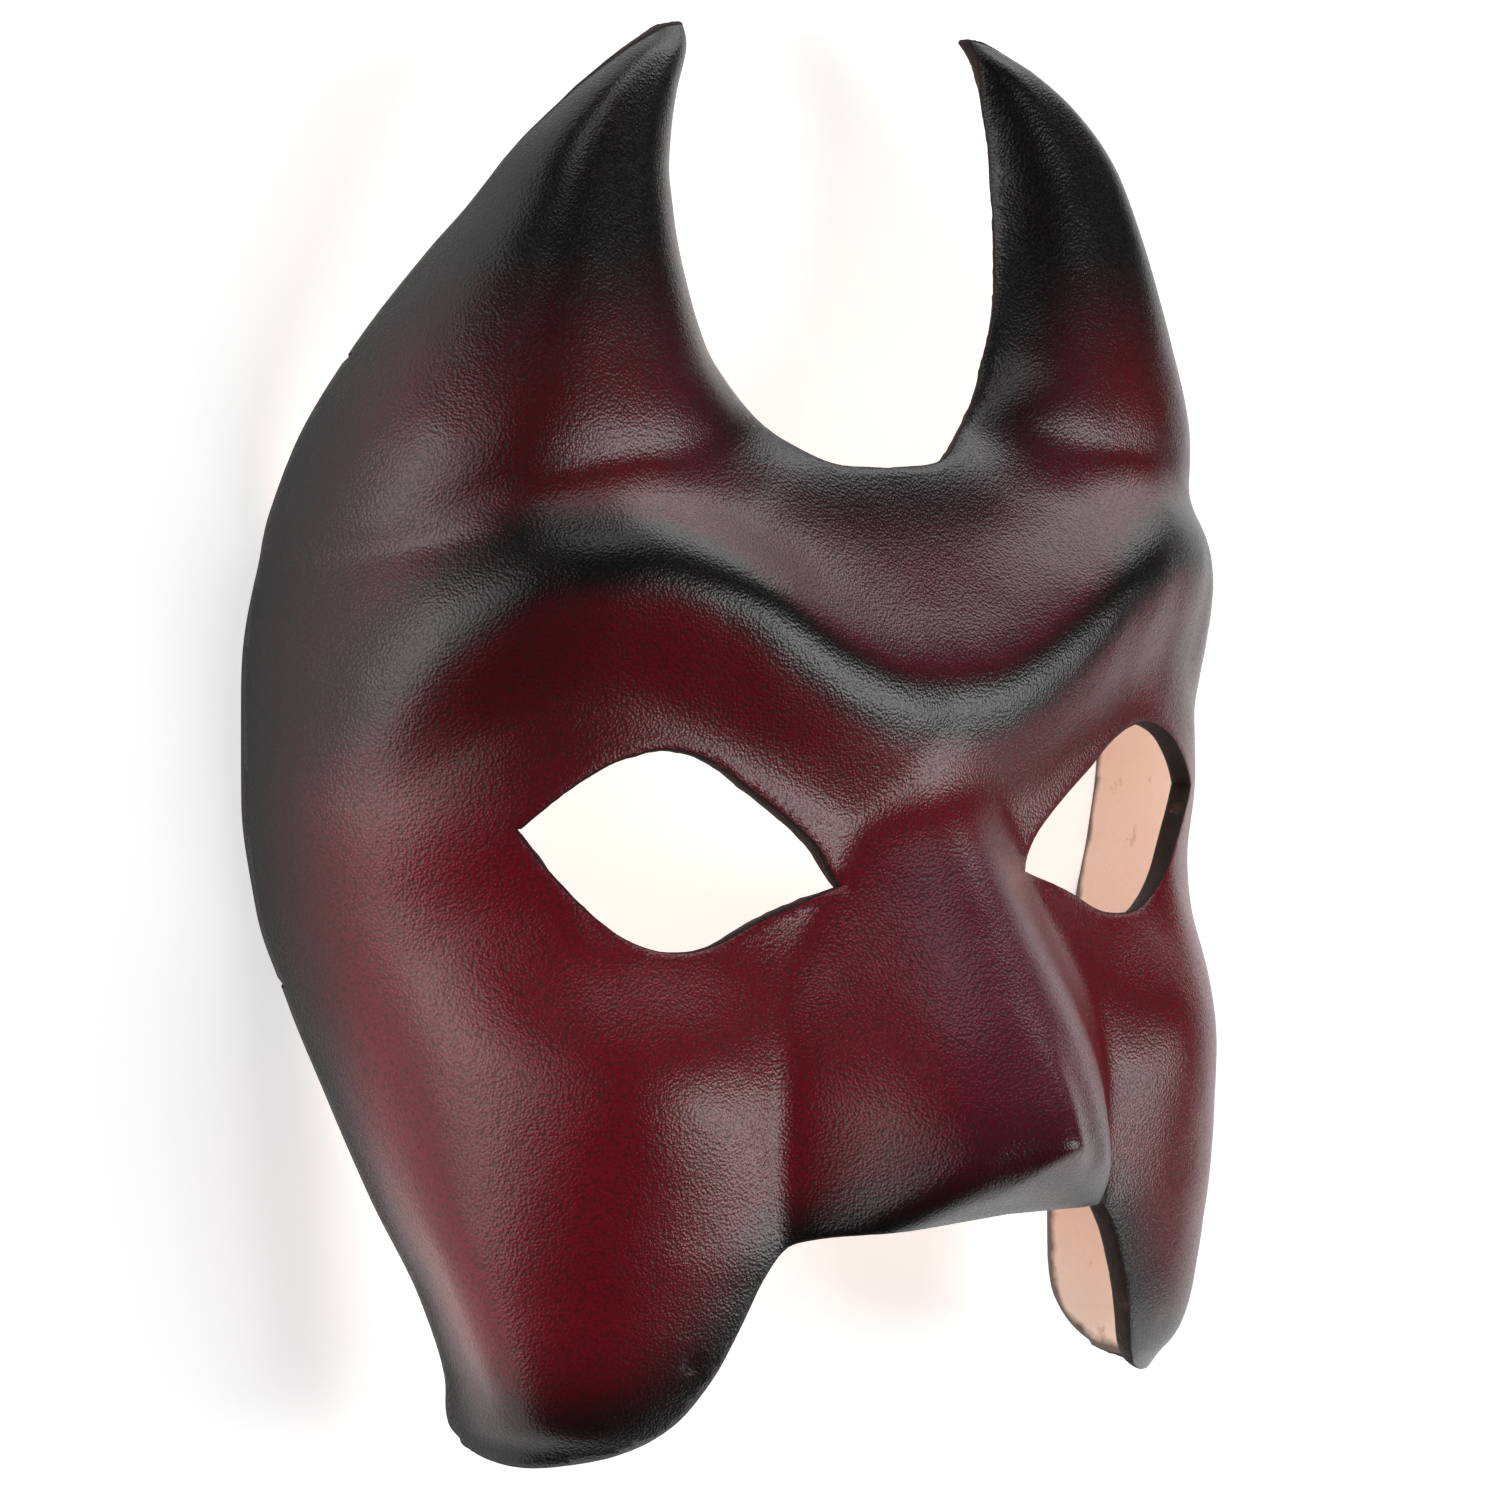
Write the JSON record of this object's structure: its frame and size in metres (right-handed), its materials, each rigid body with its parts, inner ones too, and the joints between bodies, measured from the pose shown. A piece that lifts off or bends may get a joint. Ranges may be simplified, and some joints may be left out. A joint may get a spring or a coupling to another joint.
{
  "type": "horned leather half mask",
  "caption": "Formed leather half mask of a horned devil with a drawn brow, cut eye holes, large hooked nose and cheek lobes.",
  "frame": {"origin": "on the ground under the middle of the mask's box, in its plane of symmetry, with the mask lying face up on its two temple rims", "axes": "+X to the viewer's right, +Y towards the horn tips, +Z out of the face"},
  "size_m": [0.1468, 0.1696, 0.065],
  "materials": {
    "leather": "semi-gloss oxblood leather with airbrushed black edges, horns and brow"
  },
  "bodies": {
    "root": {"leather_mask": "leather"}
  },
  "joints": []
}
